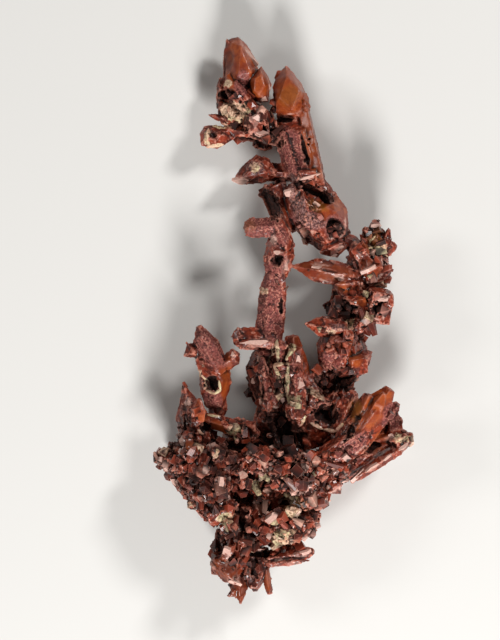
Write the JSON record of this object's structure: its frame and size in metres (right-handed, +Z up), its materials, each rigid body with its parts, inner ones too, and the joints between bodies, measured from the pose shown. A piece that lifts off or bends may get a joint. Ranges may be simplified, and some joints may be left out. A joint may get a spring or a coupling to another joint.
{
  "type": "mineral specimen",
  "caption": "Branching native copper specimen under a skin of cuprite crystals, with pale green crusts, lying on its back.",
  "frame": {"origin": "the middle of the specimen's bounding box at the height of the surface it lies on", "axes": "+Y runs along the specimen from its broad root cluster to the crystals at its crown, +X across it, and +Z up from the surface it lies on to the face that is seen"},
  "size_m": [0.052, 0.1135, 0.0207],
  "materials": {
    "cuprite_skin": "satin"
  },
  "bodies": {
    "root": {"centre_cluster": "cuprite_skin", "foot": "cuprite_skin", "left_cluster": "cuprite_skin", "lower_blade": "cuprite_skin", "middle_trunk": "cuprite_skin", "upper_blade": "cuprite_skin", "left_branch": "cuprite_skin", "ribbon_branch": "cuprite_skin", "right_branch": "cuprite_skin", "elbow": "cuprite_skin", "upper_stem": "cuprite_skin", "side_spike": "cuprite_skin", "crown_left": "cuprite_skin", "crown_right": "cuprite_skin"}
  },
  "joints": []
}
